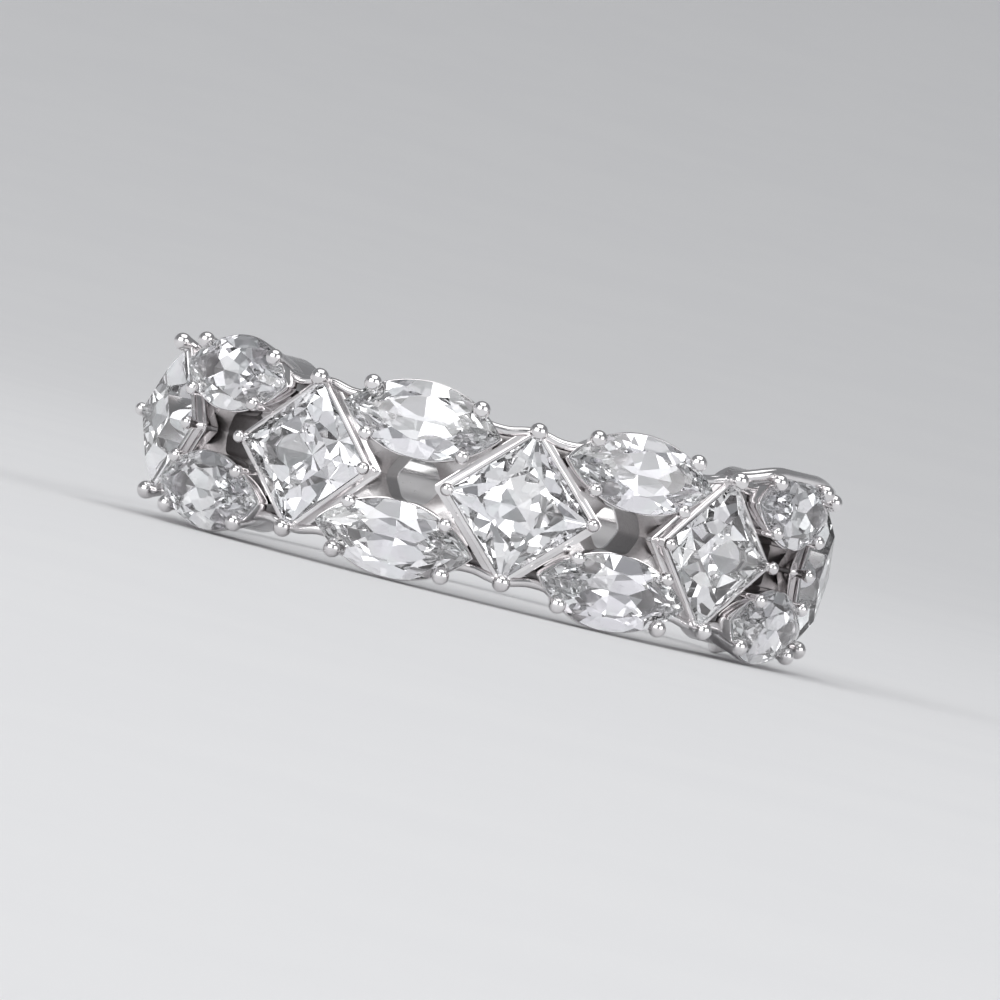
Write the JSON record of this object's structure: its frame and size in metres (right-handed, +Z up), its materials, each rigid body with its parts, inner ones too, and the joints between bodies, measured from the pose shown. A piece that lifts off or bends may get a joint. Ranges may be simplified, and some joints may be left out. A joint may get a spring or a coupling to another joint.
{
  "type": "hinged ear ring",
  "caption": "Hinged ear hoop whose front half is a band of square and pointed oval clear stones and whose back half is a plain round wire.",
  "frame": {"origin": "on the surface it lies on, under the middle of the closed ring's box", "axes": "+Z up along the ring's axis; the middle of the jewelled half points to -Y; the hinge is at +X and the catch at -X"},
  "size_m": [0.014, 0.0132, 0.0038],
  "materials": {
    "setting_metal": "polished silver-coloured cast metal",
    "wire_metal": "polished round steel wire",
    "pin_metal": "plain drawn wire",
    "clear_stone": "clear faceted stone, polished"
  },
  "bodies": {
    "band": {"setting_band": "setting_metal", "hinge_pin": "pin_metal", "princess_stone_1": "clear_stone", "princess_stone_2": "clear_stone", "princess_stone_3": "clear_stone", "princess_stone_4": "clear_stone", "princess_stone_5": "clear_stone", "marquise_upper_1": "clear_stone", "marquise_lower_1": "clear_stone", "marquise_upper_2": "clear_stone", "marquise_lower_2": "clear_stone", "marquise_upper_3": "clear_stone", "marquise_lower_3": "clear_stone", "marquise_upper_4": "clear_stone", "marquise_lower_4": "clear_stone"},
    "segment": {"wire_segment": "wire_metal"}
  },
  "joints": [
    {"name": "segment_hinge", "type": "hinge", "parent": "band", "child": "segment", "pos_m": [0.0055, 0.00166, 0.00192], "axis": [0, 0, -1], "range_deg": [0, 90]}
  ]
}
